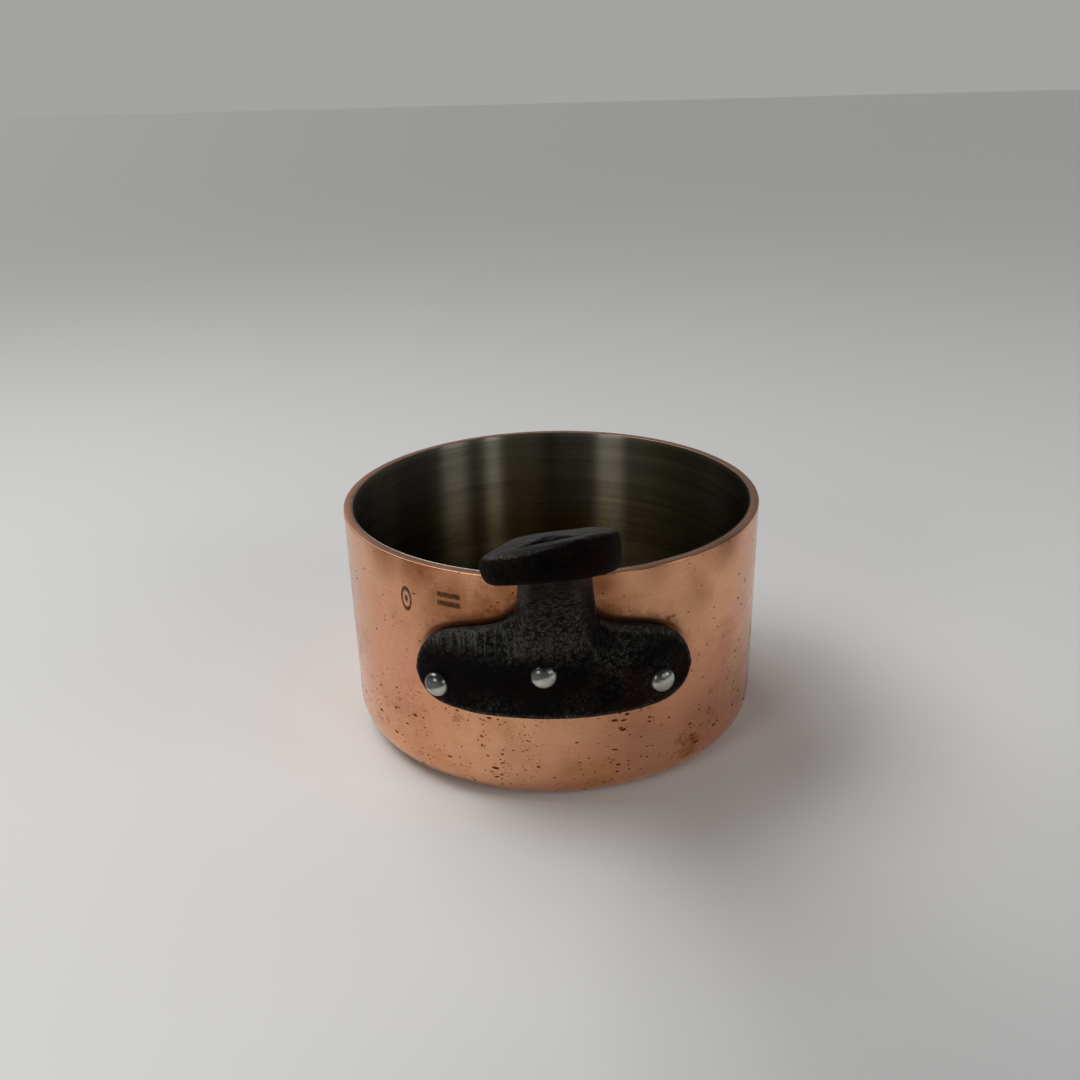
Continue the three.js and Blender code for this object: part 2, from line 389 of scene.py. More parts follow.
def makeCopper(values):
    material, tree, surface, place = newMaterial("copper")
    x, y, z = split(place)
    # soft shifts between paler, rosier and yellower metal
    drift = noiseValue(place, 26.0, 4.0, 0.6)
    colour = blendColour(spread(drift, 0.38, 0.66), values["fresh"], values["rosy"])
    yellow = noiseValue(vectorCalc("ADD", place, (0.7, 0.2, 0.4)), 38.0, 5.0, 0.65)
    low = spread(z, 70 * mm, 10 * mm, 0.25, 0.9)
    colour = blendColour(times(spread(yellow, 0.5, 0.66), low), colour, values["honey"])
    # smooth tarnish, and a painted dark reflection of the neck on both sides of it
    blotch = noiseValue(place, 260.0, 8.0, 0.74)
    darkenedAndReflected = times(reaching(place, values["neckReflectionAndTarnishSpots"]), spread(blotch, 0.25, 0.7, 0.75, 1.0))
    colour = blendColour(darkenedAndReflected, colour, values["reflectionAndTarnish"])
    # brown stains with broken edges, a thin cloud all over, and a browner band over the lowest 3 mm
    reached = reaching(place, values["stains"])
    broken = calc("MULTIPLY_ADD", minus(blotch, 0.5), 3.2, reached)
    browned = times(spread(broken, 0.35, 1.35), spread(reached, 0.0, 0.3))
    thin = times(stainMask(place, 16, 0.42, 0.12), values["thinCover"])
    under = times(spread(z, 3 * mm, 0.4 * mm), spread(blotch, 0.3, 0.7, 0.35, 0.9))
    browned = larger(browned, thin, under)
    colour = blendColour(browned, colour, values["brown"])
    # painted shadow and dark reflection of the iron, with some grime, on the copper beside it
    ironShadeAndGrime = shadeAndGrimeByIron(tree, z, blotch, values)
    colour = blendColour(ironShadeAndGrime, colour, values["nearBlack"])
    # faint polishing lines round the pan, and a speckle
    lines = brushedLines(place, 2600.0, 16.0)
    brushed = spread(lines, 0.3, 0.8, 0.0, values["lineCover"])
    colour = blendColour(brushed, colour, values["brown"])
    speckle = noiseValue(stretched(place, (700, 700, 1500)), 1.0, 4.0, 0.7)
    speckle = spread(speckle, 0.45, 0.75, 0.0, values["speckleCover"])
    colour = blendColour(speckle, colour, values["brown"])
    # pits and punched marks
    pits = scatteredPits(place, y, z, values)
    colour = blendColour(times(pits, values["pitCover"]), colour, values["pit"])
    uneven = spread(noiseValue(place, 1500.0, 3.0), 0.25, 0.55, 0.5, 1.0)
    marks = times(punchedMarks(x, y, z, values), uneven)
    colour = blendColour(times(marks, values["markCover"]), colour, values["mark"])
    hollow = larger(pits, marks)
    # dusty, duller metal on the flat of the rim, and a painted dark reflection as a line where it turns
    rim = spread(z, rimHeight - 0.16 * mm, rimHeight - 0.05 * mm)
    colour = blendColour(times(rim, values["rimCover"]), colour, values["rim"])
    # painted dark reflection along the rim's rounded edge, in patches
    fromTurn = calc("ABSOLUTE", minus(z, rimHeight - 0.3 * mm))
    patches = spread(noiseValue(place, 35.0, 3.0), 0.42, 0.58, 0.1, 0.85)
    colour = blendColour(times(spread(fromTurn, 0.22 * mm, 0.1 * mm), patches), colour, values["brown"])
    rough = plus(
        spread(lines, 0.2, 0.8, values["roughness"] - 0.03, values["roughness"] + 0.05),
        times(larger(browned, ironShadeAndGrime), 0.2),
        spread(drift, 0.4, 0.65, -0.02, 0.05),
        times(hollow, 0.3),
    )
    height = minus(plus(times(lines, 0.004), times(noiseValue(place, 90.0, 2.0), 0.9)), hollow)
    fill(surface, {
        "Base Color": colour, "Metallic": 1.0,
        "Roughness": calc("ADD", rough, times(rim, 0.2), clamp=True),
        "Normal": bumped(height, 0.7, values["bumpDepth"]),
    })
    return material


# the steel of the lining

liningFinish = {
    "steel": (0.24, 0.22, 0.175, 1),
    "olive": (0.165, 0.125, 0.050, 1),
    "rightShade": (0.050, 0.040, 0.018, 1),
    "roughness": 0.28,
    "anisotropy": 1.0,
    "bumpDepth": 0.01,
    # mm between which each darkening grows: yellow by height, painted shade by distance towards +X
    "yellowFrom": (72, 38),
    "rightShadeFrom": (20, 48),
    "rightShadeCover": 0.85,
}


def makeLining(values):
    material, tree, surface, place = newMaterial("liningSteel")
    x, _, z = split(place)
    # food has yellowed the lower part of the wall, and painted shade makes it darkest towards +X
    cloud = stainMask(place, 24, 0.5, 0.22)
    clean, yellow = values["yellowFrom"]
    yellowed = times(spread(z, clean * mm, yellow * mm), fade(cloud, 0.55, 1.0))
    colour = blendColour(yellowed, values["steel"], values["olive"])
    # painted shade, growing towards +X
    clean, rightShade = values["rightShadeFrom"]
    rightShade = spread(x, clean * mm, rightShade * mm, 0.0, values["rightShadeCover"])
    colour = blendColour(rightShade, colour, values["rightShade"])
    lines = brushedLines(place, 2200.0, 9.0)
    bands = brushedLines(place, 420.0, 5.0)
    shade = times(
        spread(lines, 0.25, 0.75, 0.84, 1.12, False),
        spread(bands, 0.3, 0.7, 0.94, 1.08, False),
    )
    shade = put(tree, "ShaderNodeCombineColor", {0: shade, 1: shade, 2: shade}).outputs[0]
    rough = spread(bands, 0.2, 0.8, values["roughness"] - 0.03, values["roughness"] + 0.04, False)
    fill(surface, {
        "Base Color": blendColour(1.0, colour, shade, "MULTIPLY"), "Metallic": 1.0, "Roughness": rough,
        "Anisotropic": values["anisotropy"], "Anisotropic Rotation": 0.25,
        "Tangent": put(tree, "ShaderNodeTangent", direction_type="RADIAL", axis="Z").outputs[0],
        "Normal": bumped(lines, 0.2, values["bumpDepth"]),
    })
    return material


# the cast iron

ironFinish = {
    "black": (0.0024, 0.0022, 0.0020, 1),
    "soot": (0.0006, 0.0005, 0.0005, 1),
    "scuff": (0.074, 0.072, 0.062, 1),
    "worn": (0.085, 0.083, 0.074, 1),
    "rust": (0.0075, 0.0024, 0.0016, 1),
    "roughness": 0.42,
    "specular": 0.03,
    "bumpDepth": 0.14,
    "filedHeight": (54, 64),
    # azimuth from the handle towards +X in degrees, height, reach in mm, strength
    "mottled": [
        (0, 62, 20, 0.9), (15, 52, 17, 0.95), (24, 46, 12, 0.8), (6, 36, 13, 0.85), (-14, 35, 14, 0.8),
        (26, 36, 11, 0.8), (-12, 58, 14, 0.5), (-33, 50, 9, 0.5), (32, 52, 8, 0.5), (-26, 37, 9, 0.5),
    ],
    # a patch on the end's top that is kept dark, in mm
    "keptDarkPatch": (5, -203, 147),
    "strokeCover": 0.6,
    "upwardMottleCover": 0.9,
}


def makeCastIron(values):
    material, tree, surface, place = newMaterial("castIron")
    x, _, z = split(place)
    drift = noiseValue(place, 55.0, 4.0, 0.6)
    colour = blendColour(spread(drift, 0.38, 0.62), values["soot"], values["black"])
    # a little dark rust, mostly towards +X
    rusty = times(stainMask(place, 13, 0.5, 0.1), spread(x, -30 * mm, 30 * mm, 0.25, 0.9))
    colour = blendColour(rusty, colour, values["rust"])
    # fine grey mottling where the black has been handled away
    mottle = stainMask(place, 1.5, 0.49, 0.09)
    speck = stainMask(place, 0.42, 0.46, 0.07)
    region = times(reaching(place, values["mottled"]), spread(drift, 0.3, 0.6, 0.3, 1.0))
    # it covers the neck, fainter higher up, and is mostly left off the neck's +X side, keeping it dark as
    # painted shade
    shank = times(
        spread(z, 50 * mm, 62 * mm), spread(z, 78 * mm, 96 * mm, 1.0, 0.5),
        spread(x, 12 * mm, 7 * mm, 0.15, 1.0),
    )
    worn = times(mottle, larger(region, shank))
    # grey mottling on the upward faces of the handle's top, and painted shade on the sides of its end,
    # which keeps them black and rougher
    upward = readAttribute(tree, "upward")
    patch = tuple(part * mm for part in values["keptDarkPatch"])
    keptDark = spread(vectorCalc("DISTANCE", place, patch, output="Value"), 13 * mm, 8 * mm)
    # painted shade on the sides of the end
    end = times(spread(z, 118 * mm, 132 * mm), spread(upward, 0.9, 0.7))
    upwardMottle = times(spread(upward, 0.74, 0.93), fade(mottle, 0.35, 0.7))
    worn = times(worn, fade(end, 1.0, 0.05))
    worn = larger(worn, times(upwardMottle, spread(z, 84 * mm, 96 * mm, 0.0, values["upwardMottleCover"])))
    worn = times(worn, fade(keptDark, 1.0, 0.2), fade(speck, 0.12, 1.2))
    colour = blendColour(worn, colour, values["scuff"])
    # file strokes across the upper edge of the flange, mostly on the -X side
    low, high = values["filedHeight"]
    filed = times(
        spread(z, low * mm, (low + 5) * mm), spread(z, (high + 3) * mm, high * mm),
        spread(x, 14 * mm, -14 * mm, 0.12, 1.0),
    )
    strokes = noiseValue(stretched(place, (1500, 1500, 60)), 1.0, 2.0, 0.6)
    strokes = times(spread(strokes, 0.42, 0.66), filed)
    colour = blendColour(times(strokes, values["strokeCover"]), colour, values["worn"])
    # bare grey metal on the outer edges, partly wear and partly a painted highlight where the bevels catch
    # light, but not where the end is kept dark
    edgeWearAndHighlight = times(spread(readAttribute(tree, "ridge"), 0.25, 0.8), fade(speck, 0.15, 1.0))
    edgeWearAndHighlight = times(edgeWearAndHighlight, fade(mottle, 0.3, 0.9), fade(larger(end, keptDark), 1.0, 0.06))
    colour = blendColour(edgeWearAndHighlight, colour, values["worn"])
    rough = spread(drift, 0.3, 0.7, values["roughness"] - 0.06, values["roughness"] + 0.12)
    # the painted shade on the end's sides also makes them rougher
    rough = plus(minus(rough, times(worn, 0.06)), times(end, 0.4))
    pits = scatteredHoles(place, 1.6, 0.5, 0.22)
    height = minus(noiseValue(place, 1300.0, 4.0, 0.65), times(pits, 0.7))
    height = minus(height, times(strokes, 0.6))
    fill(surface, {
        "Base Color": colour, "Metallic": 0.0, "Roughness": rough,
        "Specular IOR Level": values["specular"], "Normal": bumped(height, 0.6, values["bumpDepth"]),
    })
    return material


# the steel of the rivets

rivetFinish = {
    "steel": (0.54, 0.54, 0.50, 1),
    "dull": (0.33, 0.325, 0.29, 1),
    "dark": (0.060, 0.062, 0.062, 1),
    "nearBlack": (0.02, 0.016, 0.013, 1),
    "roughness": 0.22,
    "bumpDepth": 0.05,
    "dullCover": 0.6,
    "darkCover": 0.86,
}


def makeRivetSteel(values):
    material, tree, surface, place = newMaterial("rivetSteel")
    dull = stainMask(place, 3, 0.45, 0.15)
    colour = blendColour(times(dull, values["dullCover"]), values["steel"], values["dull"])
    # a painted dark reflection on the upper part of each head, in strokes
    strokes = noiseValue(stretched(place, (700, 700, 2600)), 1.0, 3.0, 0.65)
    above = calc("MULTIPLY_ADD", minus(strokes, 0.5), 0.4, readAttribute(tree, "above"))
    colour = blendColour(spread(above, 0.0, 0.26, 0.0, values["darkCover"]), colour, values["dark"])
    # grime caught where the outer head meets the iron
    crown = readAttribute(tree, "crown")
    caught = times(spread(crown, 0.22, 0.02), spread(crown, -2.4, -1.4))
    colour = blendColour(caught, colour, values["nearBlack"])
    rough = plus(fade(dull, values["roughness"], values["roughness"] + 0.14), times(caught, 0.4))
    scratch = noiseValue(stretched(place, (2600, 500, 900)), 1.0, 3.0, 0.6)
    fill(surface, {
        "Base Color": colour, "Metallic": minus(1.0, times(caught, 0.7)), "Roughness": rough,
        "Normal": bumped(scratch, 0.25, values["bumpDepth"]),
    })
    return material


copper = makeCopper(copperFinish)
liningSteel = makeLining(liningFinish)
castIron = makeCastIron(ironFinish)
rivetSteel = makeRivetSteel(rivetFinish)
print("materials made")


# geometry helpers

def meshObject(name, points, faces=(), edges=()):
    mesh = bpy.data.meshes.new(name)
    mesh.from_pydata(points, edges, faces)
    made = bpy.data.objects.new(name, mesh)
    scene.collection.objects.link(made)
    return made


def arcPoints(centreX, centreZ, radius, fromDegrees, toDegrees, steps):
    points = []
    for i in range(steps + 1):
        angle = math.radians(fromDegrees + (toDegrees - fromDegrees) * i / steps)
        points.append((centreX + radius * math.cos(angle), centreZ + radius * math.sin(angle)))
    return points


def rows(start, end, count):
    # points strictly between two ends
    return [
        (start[0] + (end[0] - start[0]) * i / count, start[1] + (end[1] - start[1]) * i / count)
        for i in range(1, count)
    ]


def smoothThrough(points, steps):
    # a smooth curve through points of any number of coordinates
    ends = [points[0]] + list(points) + [points[-1]]
    path = []
    for around in zip(ends, ends[1:], ends[2:], ends[3:]):
        for i in range(steps):
            t = i / steps
            path.append(tuple(curveAt(t, *values) for values in zip(*around)))
    path.append(tuple(points[-1]))
    return path


def curveAt(t, before, start, end, after):
    bend = (2 * before - 5 * start + 4 * end - after) * t * t
    twist = (3 * start - before - 3 * end + after) * t ** 3
    return 0.5 * (2 * start + (end - before) * t + bend + twist)


def heightAt(path, along):
    for first, second in zip(path, path[1:]):
        if second[0] >= along:
            share = (along - first[0]) / max(second[0] - first[0], 1e-9)
            return first[1] + (second[1] - first[1]) * share
    return path[-1][1]


def lofted(name, rings):
    count = len(rings[0])
    faces = []
    for ring in range(len(rings) - 1):
        for i in range(count):
            a = ring * count + i
            b = ring * count + (i + 1) % count
            faces.append((a, b, b + count, a + count))
    last = (len(rings) - 1) * count
    faces.append(tuple(range(count))[::-1])
    faces.append(tuple(range(last, last + count)))
    made = meshObject(name, [point for ring in rings for point in ring], faces)
    rebuild(made.data, made.data)
    return made


def rebuild(mesh, *meshes):
    # the mesh becomes all of the meshes together, with every face turned outwards
    shape = bmesh.new()
    for part in meshes:
        shape.from_mesh(part)
    bmesh.ops.recalc_face_normals(shape, faces=shape.faces)
    shape.to_mesh(mesh)
    shape.free()


def addNodes(target, tree, values):
    modifier = target.modifiers.new(tree.name, "NODES")
    modifier.node_group = tree
    for item in tree.interface.items_tree:
        if item.item_type == "SOCKET" and item.in_out == "INPUT" and item.name in values:
            modifier[item.identifier] = values[item.name]


def settled(source, name):
    # the object's evaluated shape as a plain mesh in a new object
    bpy.context.view_layer.update()
    evaluated = source.evaluated_get(bpy.context.evaluated_depsgraph_get())
    mesh = bpy.data.meshes.new_from_object(evaluated)
    mesh.name = name
    source.name = name + "Source"
    bpy.data.objects.remove(source)
    made = bpy.data.objects.new(name, mesh)
    scene.collection.objects.link(made)
    return made


def pointPlace(tree):
    return put(tree, "GeometryNodeInputPosition").outputs[0]


def pointNormal(tree):
    return put(tree, "GeometryNodeInputNormal").outputs[0]


def keepAttribute(shape, name, value):
    links = {"Geometry": shape, "Name": name, "Value": value}
    kind = "GeometryNodeStoreNamedAttribute"
    return put(shape.id_data, kind, links, data_type="FLOAT", domain="POINT").outputs[0]


def movePoints(shape, links):
    links = {"Geometry": shape, **links}
    return put(shape.id_data, "GeometryNodeSetPosition", links).outputs[0]


def moveAlongNormal(shape, distance):
    return movePoints(shape, {"Offset": scaled(pointNormal(shape.id_data), distance)})


def endTree(shape, finish, socket):
    # smooth, real geometry with its material is what the tree gives
    tree = shape.id_data
    smooth = put(tree, "GeometryNodeSetShadeSmooth", {"Geometry": shape}).outputs[0]
    real = put(tree, "GeometryNodeRealizeInstances", {"Geometry": smooth}).outputs[0]
    finished = put(tree, "GeometryNodeSetMaterial", {"Geometry": real, "Material": finish})
    tree.links.new(finished.outputs[0], socket)


def makeTurnedTree():
    tree, start, end = newGroup("turnedShell", "GeometryNodeTree", [
        ("Profile", "Geometry", None), ("Steps", "Int", 96), ("Wobble", "Float", 0.0),
        ("Wobble Size", "Float", 20 * mm), ("Seed", "Float", 0.0), ("Neighbour", "Object", None),
        ("Finish", "Material", None),
    ], ("Shell", "Geometry"))
    # a grid with one column of points for each copy of the profile
    size = put(tree, "GeometryNodeAttributeDomainSize", {"Geometry": start["Profile"]}, component="MESH")
    count = size.outputs["Point Count"]
    grid = put(tree, "GeometryNodeMeshGrid", {
        "Size X": 1.0, "Size Y": 1.0, "Vertices Y": count, "Vertices X": plus(start["Steps"], 1.0),
    })
    index = put(tree, "GeometryNodeInputIndex").outputs[0]
    ring = calc("FLOOR", divided(plus(index, 0.5), count))
    row = minus(index, times(ring, count))
    links = {"Geometry": start["Profile"], "Value": pointPlace(tree), "Index": row}
    sample = put(tree, "GeometryNodeSampleIndex", links, data_type="FLOAT_VECTOR", domain="POINT")
    radius, _, height = split(sample.outputs[0])
    angle = times(divided(ring, start["Steps"]), 2 * math.pi)
    place = combined(times(radius, calc("SINE", angle)), times(radius, calc("COSINE", angle)), height)
    turned = movePoints(grid.outputs["Mesh"], {"Position": place})
    outwards = put(tree, "GeometryNodeFlipFaces", {"Mesh": turned}).outputs[0]
    links = {"Geometry": outwards, "Distance": 0.002 * mm}
    merged = put(tree, "GeometryNodeMergeByDistance", links).outputs[0]
    # hand work leaves the surface a little uneven, and only ever inside its size
    shifted = vectorCalc("ADD", pointPlace(tree), combined(0.0, 0.0, start["Seed"]))
    uneven = noiseValue(shifted, divided(1.0, start["Wobble Size"]), 1.0)
    wavy = moveAlongNormal(merged, times(minus(uneven, 1.0), start["Wobble"]))
    # how far each point is from the piece beside it
    beside = put(tree, "GeometryNodeObjectInfo", {"Object": start["Neighbour"]}).outputs["Geometry"]
    gap = put(tree, "GeometryNodeProximity", {"Geometry": beside}).outputs["Distance"]
    endTree(keepAttribute(wavy, "ironGap", gap), start["Finish"], end["Shell"])
    return tree


turnedShell = makeTurnedTree()


def turned(name, profile, steps, finish, wobble=0.0, wobbleSize=20 * mm, seed=0.0, neighbour=None):
    points = [(radius * mm, 0, height * mm) for radius, height in profile]
    source = meshObject(name, points, edges=[(i, i + 1) for i in range(len(points) - 1)])
    addNodes(source, turnedShell, {
        "Steps": steps, "Wobble": wobble, "Wobble Size": wobbleSize, "Seed": seed,
        "Neighbour": neighbour, "Finish": finish,
    })
    return settled(source, name)


# the iron handle

handle = {
    "seat": wallRadius / mm + 0.06,
    "thickness": 4.1,
    "edgeRound": 1.2,
    "crown": 0.35,
    # distance along the wall from the middle, and height: the flange's upper and lower edges
    "top": [
        (0, 72), (8.6, 71.6), (11.4, 69.8), (14, 67.4), (18, 65.2), (23, 63.8),
        (30, 62.2), (36, 60.3), (40.4, 57.6), (43.6, 53.8), (45.4, 49.6), (46, 46.4),
    ],
    "bottom": [(0, 34), (14, 34), (26, 34.2), (35.5, 35), (41, 37), (44.4, 40.4), (46, 45)],
    # distance from the pan's axis, height, half width, half thickness, stray towards +X,
    # how much narrower the underside is, and how far it is shifted
    "shank": [
        (75, 53, 15.5, 1.4, 0, 0.05, 0),
        (75.4, 57.5, 14.4, 2, 0.2, 0.1, 0),
        (76.1, 62.6, 13.4, 2.8, 0.5, 0.2, -0.05),
        (77.7, 68.2, 12.4, 3.6, 0.8, 0.26, -0.1),
        (80.9, 74.8, 11.4, 4.2, 1, 0.28, -0.12),
        (86, 81.8, 10.7, 4.6, 1, 0.28, -0.12),
        (93, 88.6, 10.1, 4.6, 1, 0.28, -0.12),
        (102, 95.8, 9.5, 4.4, 0.9, 0.28, -0.1),
        (113, 103.3, 8.8, 4.1, 0.8, 0.28, -0.06),
        (127, 111.5, 8.2, 3.8, 0.7, 0.28, 0),
        (142, 119.3, 8.1, 3.5, 0.6, 0.26, 0),
        (157, 126.2, 8.7, 3.3, 0.5, 0.2, 0),
        (171, 132, 9.9, 3.1, 0.4, 0.14, 0),
        (183, 136.6, 11.1, 3, 0.3, 0.08, 0),
        (192, 139.9, 11.7, 3, 0.3, 0.05, 0),
        (199, 142.6, 11.4, 3, 0.3, 0.05, 0),
        (204, 144.5, 9.9, 3, 0.3, 0.05, 0),
        (207.3, 145.7, 7.4, 2.95, 0.3, 0.05, 0),
        (209.2, 146.3, 4.8, 2.8, 0.3, 0.05, 0),
        (210.1, 146.5, 2, 2.4, 0.3, 0.05, 0),
    ],
    "cornerRound": 1.2,
    "endTwist": 7,
    "endWedge": 0.1,
    "wornCorner": 0.45,
    "twistFrom": 110,
    "holeCentre": 198.5,
    "holeRadius": 4.6,
    "holeLength": 22,
    # half widths of the hole's narrow end and of its middle, as shares of its radius
    "holeTip": 0.28,
    "holeWaist": 0.52,
    "voxel": 0.5 * mm,
    "fillet": 0.9,
    "waviness": 0.3 * mm,
    "grain": 0.08 * mm,
}


def makeFlange(values):
    top = smoothThrough(values["top"], 12)
    bottom = smoothThrough(values["bottom"], 12)
    seat, edge, thickness = values["seat"], values["edgeRound"], values["thickness"]
    end = values["top"][-1][0]
    rings = []
    steps = 92
    for i in range(steps + 1):
        # stations crowd towards both ends, where the outline turns
        crowded = math.sin(math.radians(180 * i / steps - 90))
        along = end * (0.35 * crowded + 0.65 * (2 * i / steps - 1))
        low, high = heightAt(bottom, abs(along)), heightAt(top, abs(along))
        outer = seat + thickness + values["crown"] * (1 - (along / end) ** 2)
        corner = min(edge, (high - low) * 0.45)
        section = [(seat, low), (seat, (low + high) / 2), (seat, high)]
        section += arcPoints(outer - corner, high - corner, corner, 90, 0, 4)
        section += rows((outer, high - corner), (outer, low + corner), 8)
        section += arcPoints(outer - corner, low + corner, corner, 0, -90, 4)
        turn = along / (seat + thickness)
        rings.append([
            (radius * mm * math.sin(turn), -radius * mm * math.cos(turn), z * mm) for radius, z in section
        ])
    return lofted("flange", rings)


def shankFrame(stations, index, values):
    # slope of the shank at a station, and its share of the end's shaping
    before = stations[max(index - 1, 0)]
    after = stations[min(index + 1, len(stations) - 1)]
    slope = math.atan2(after[1] - before[1], after[0] - before[0])
    share = (stations[index][0] - values["twistFrom"]) / (values["holeCentre"] - values["twistFrom"])
    share = min(max(share, 0), 1)
    return slope, share * share * (3 - 2 * share)


def onShank(station, slope, twist, across, up):
    turnedUp = up * math.cos(twist) + across * math.sin(twist)
    turnedAcross = across * math.cos(twist) - up * math.sin(twist)
    x = station[4] + turnedAcross
    y = turnedUp * math.sin(slope) - station[0]
    z = turnedUp * math.cos(slope) + station[1]
    return (x * mm, y * mm, z * mm)


def boxSection(width, thickness, corner):
    # a rectangle with rounded corners, anticlockwise from the +X side
    corner = min(corner, width * 0.8, thickness * 0.8)
    outline = []
    for turnFrom, signX, signZ, along in ((0, 1, 1, 8), (90, -1, 1, 3), (180, -1, -1, 8), (270, 1, -1, 3)):
        centreX, centreZ = signX * (width - corner), signZ * (thickness - corner)
        arc = arcPoints(centreX, centreZ, corner, turnFrom, turnFrom + 90, 5)
        nextX = centreX if turnFrom in (90, 270) else -centreX
        nextZ = -centreZ if turnFrom in (90, 270) else centreZ
        start = arcPoints(nextX, nextZ, corner, turnFrom + 90, turnFrom + 90, 1)[0]
        outline += arc + rows(arc[-1], start, along)
    return outline


def makeShank(values):
    stations = smoothThrough(values["shank"], 6)
    rings = []
    for index, station in enumerate(stations):
        slope, share = shankFrame(stations, index, values)
        twist = math.radians(values["endTwist"]) * share
        width, thickness, narrowing, shift = station[2], station[3], station[5], station[6]
        ring = []
        for across, up in boxSection(width, thickness, values["cornerRound"]):
            lower = min(max(0.35 - up / thickness, 0), 1.35) / 1.35
            wedge = 1 + values["endWedge"] * share * across / width
            narrowed = across * (1 - narrowing * lower) + shift * width * lower
            worn = 1 - values["wornCorner"] * share * max(-across / width, 0) ** 2 if up > 0 else 1
            ring.append(onShank(station, slope, twist, narrowed, up * wedge * worn))
        rings.append(ring)
    return lofted("shank", rings)


def teardrop(values, grow):
    # round towards the handle's end and narrow towards the pan
    radius, length = values["holeRadius"], values["holeLength"]
    shoulder = 14
    outline = arcPoints(0, 0, radius + grow, 180 - shoulder, 360 + shoulder, 20)
    side = outline[-1]
    top = length - radius + grow
    narrow = radius * values["holeTip"] + grow
    waist = radius * values["holeWaist"] + grow
    for i in range(1, 9):
        t = i / 9
        first, middle, last = (1 - t) * (1 - t), 2 * t * (1 - t), t * t
        across = first * side[0] + middle * waist + last * narrow
        along = first * side[1] + middle * top * 0.6 + last * (top - narrow)
        outline.append((across, along))
    outline += arcPoints(0, top - narrow, narrow, 0, 180, 8)
    for across, along in outline[-10:-18:-1]:
        outline.append((-across, along))
    return outline


def makeCutters(values):
    # the hanging hole, which flares at both faces
    stations = smoothThrough(values["shank"], 6)
    index = next(i for i, station in enumerate(stations) if station[0] >= values["holeCentre"])
    slope, share = shankFrame(stations, index, values)
    twist = math.radians(values["endTwist"]) * share
    station = stations[index]
    rings = []
    flare = [(1.6, 0), (2.6, 0.2), (3.4, 0.6), (9, 1.0)]
    for depth, grow in [(-depth, grow) for depth, grow in flare[::-1]] + flare:
        ring = []
        for across, along in teardrop(values, grow):
            x, y, z = onShank(station, slope, twist, across, depth)
            # move back along the handle, towards the pan
            ring.append((x, y + along * mm * math.cos(slope), z - along * mm * math.sin(slope)))
        rings.append(ring)
    return lofted("holeCutter", rings)


def makeCastTree():
    tree, start, end = newGroup("castSkin", "GeometryNodeTree", [
        ("Casting", "Geometry", None), ("Fillet", "Float", 1.0), ("Waviness", "Float", 0.1 * mm),
        ("Grain", "Float", 0.03 * mm), ("Finish", "Material", None),
    ], ("Skin", "Geometry"))

    def average(iterations):
        links = {"Value": pointPlace(tree), "Iterations": iterations}
        return put(tree, "GeometryNodeBlurAttribute", links, data_type="FLOAT_VECTOR").outputs[0]

    def hollowness(iterations):
        # how far the surface lies below the average of what is round it
        shift = vectorCalc("SUBTRACT", average(iterations), pointPlace(tree))
        return vectorCalc("DOT_PRODUCT", shift, pointNormal(tree), output="Value")

    # the casting's softened edges all over
    shape = movePoints(start["Casting"], {"Position": average(4)})
    # fillets fill only the hollow corners
    for iterations in (50, 40, 30, 20):
        shape = moveAlongNormal(shape, times(larger(hollowness(iterations), 0.0), start["Fillet"]))
    shape = movePoints(shape, {"Position": average(2)})
    # sand-cast unevenness
    where = pointPlace(tree)
    wave = times(minus(noiseValue(where, 130.0, 2.0), 0.6), start["Waviness"])
    grain = times(minus(noiseValue(where, 700.0, 3.0, 0.6), 0.6), start["Grain"])
    shape = moveAlongNormal(shape, plus(wave, grain))
    # rounded outer edges stand above the average of what is round them
    shape = keepAttribute(shape, "ridge", divided(hollowness(14), -0.22 * mm))
    shape = keepAttribute(shape, "upward", split(pointNormal(tree))[2])
    endTree(shape, start["Finish"], end["Skin"])
    return tree


castSkin = makeCastTree()


def makeHandle(values):
    shank = makeShank(values)
    cutter = makeCutters(values)
    hole = shank.modifiers.new("hangingHole", "BOOLEAN")
    hole.operation = "DIFFERENCE"
    hole.solver = "EXACT"
    hole.object = cutter
    shank = settled(shank, "shankCut")
    bpy.data.objects.remove(cutter)
    casting = makeFlange(values)
    rebuild(casting.data, casting.data, shank.data)
    bpy.data.objects.remove(shank)
    remesh = casting.modifiers.new("oneCasting", "REMESH")
    remesh.mode = "VOXEL"
    remesh.voxel_size = values["voxel"]
    addNodes(casting, castSkin, {
        "Fillet": values["fillet"], "Waviness": values["waviness"], "Grain": values["grain"],
        "Finish": castIron,
    })
    return settled(casting, "handleCasting")


handleCasting = makeHandle(handle)
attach(handleCasting, "root")
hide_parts("handle")
print("handle made:", len(handleCasting.data.polygons), "faces")


# the copper body

body = {
    "outerRadius": wallRadius / mm,
    "innerRadius": liningBox[1][0] / mm + 0.03,
    "height": rimHeight / mm,
    "underside": 0,
    "floor": liningBox[0][2] / mm - 0.03,
    "corner": 9.5,
    "rimRound": 0.35,
    "innerRound": 0.1,
    "steps": 320,
    # how many parts each stretch of the section has, from under the middle to the floor's middle
    "parts": (12, 16, 50, 5, 3, 6, 8, 1),
    "unevenness": 0.06 * mm,
    "unevenSize": 24 * mm,
}


